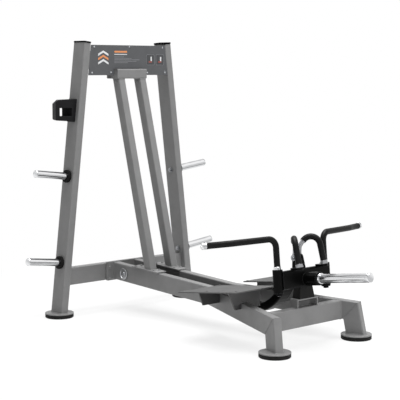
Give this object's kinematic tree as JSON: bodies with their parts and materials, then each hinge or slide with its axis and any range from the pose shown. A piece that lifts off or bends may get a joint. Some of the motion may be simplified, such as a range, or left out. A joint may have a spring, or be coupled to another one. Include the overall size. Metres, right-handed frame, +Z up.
{
  "type": "t-bar row machine",
  "caption": "Free-standing T-bar row machine: leaning uprights with plate pegs, low rail frame with standing plates, and a pivoting lever arm with swivelling grips and a weight horn.",
  "frame": {"origin": "on the floor, under the middle of the machine's outline", "axes": "+Z up from the floor; -Y towards the weight horn, the way the user faces; +Y towards the leaning uprights; X across, left upright with the accessory holder at -X"},
  "size_m": [1.5096, 2.0996, 1.6823],
  "materials": {
    "grey_powder_coat": "satin mid-grey powder coat on rectangular steel tube and plate",
    "black_powder_coat": "semi-gloss black powder coat on steel",
    "chrome_plate": "polished chrome plate on steel bar",
    "black_rubber": "matt black rubber",
    "black_plastic": "black moulded plastic plug",
    "bare_steel": "turned steel, lightly oiled",
    "panel_finish": "dark grey printed sheet steel, matt",
    "bronze": "sintered bronze"
  },
  "bodies": {
    "frame": {"accessory_holder": "black_powder_coat", "bumper": "black_rubber", "bumper_bracket": "grey_powder_coat", "front_crossbeam": "grey_powder_coat", "left_front_foot_disc": "grey_powder_coat", "left_front_foot_pad": "black_rubber", "left_front_leg": "grey_powder_coat", "left_lower_peg_collar": "black_rubber", "left_lower_storage_peg": "chrome_plate", "left_pivot_cap": "bare_steel", "left_rail": "grey_powder_coat", "left_rear_foot_disc": "grey_powder_coat", "left_rear_foot_pad": "black_rubber", "left_step_plate": "grey_powder_coat", "left_strut": "grey_powder_coat", "left_strut_base_plate": "grey_powder_coat", "left_upper_peg_collar": "black_rubber", "left_upper_storage_peg": "chrome_plate", "left_upright": "grey_powder_coat", "left_upright_cap": "black_plastic", "pivot_axle": "bare_steel", "rail_end_plate": "grey_powder_coat", "rear_crossbeam": "grey_powder_coat", "right_front_foot_disc": "grey_powder_coat", "right_front_foot_pad": "black_rubber", "right_front_leg": "grey_powder_coat", "right_lower_peg_collar": "black_rubber", "right_lower_storage_peg": "chrome_plate", "right_pivot_cap": "bare_steel", "right_rail": "grey_powder_coat", "right_rear_foot_disc": "grey_powder_coat", "right_rear_foot_pad": "black_rubber", "right_step_plate": "grey_powder_coat", "right_strut": "grey_powder_coat", "right_strut_base_plate": "grey_powder_coat", "right_upper_peg_collar": "black_rubber", "right_upper_storage_peg": "chrome_plate", "right_upright": "grey_powder_coat", "right_upright_cap": "black_plastic", "sign_panel": "panel_finish", "strut_head": "grey_powder_coat", "strut_head_plate": "grey_powder_coat", "top_crossbeam": "grey_powder_coat"},
    "arm": {"carriage_beam": "black_powder_coat", "handle_lug": "black_powder_coat", "left_handle_sleeve": "black_powder_coat", "left_inner_bar": "chrome_plate", "left_inner_grip": "black_rubber", "left_pivot_bush": "bronze", "lever_arm": "black_powder_coat", "right_handle_sleeve": "black_powder_coat", "right_inner_bar": "chrome_plate", "right_inner_grip": "black_rubber", "right_pivot_bush": "bronze", "weight_horn": "chrome_plate"},
    "left_handle": {"left_handle_bar": "chrome_plate", "left_handle_grip": "black_rubber"},
    "right_handle": {"right_handle_bar": "chrome_plate", "right_handle_grip": "black_rubber"}
  },
  "joints": [
    {"name": "arm_lift", "type": "hinge", "parent": "frame", "child": "arm", "pos_m": [0, 0.83601, 0.236], "axis": [-1, 0, 0], "range_deg": [0, 35]},
    {"name": "left_handle_swivel", "type": "hinge", "parent": "arm", "child": "left_handle", "pos_m": [-0.191, -0.56399, 0.3726], "axis": [0, 0.0958, 0.9954], "range_deg": [-60, 60]},
    {"name": "right_handle_swivel", "type": "hinge", "parent": "arm", "child": "right_handle", "pos_m": [0.191, -0.56399, 0.3726], "axis": [0, 0.0958, 0.9954], "range_deg": [-60, 60]}
  ]
}
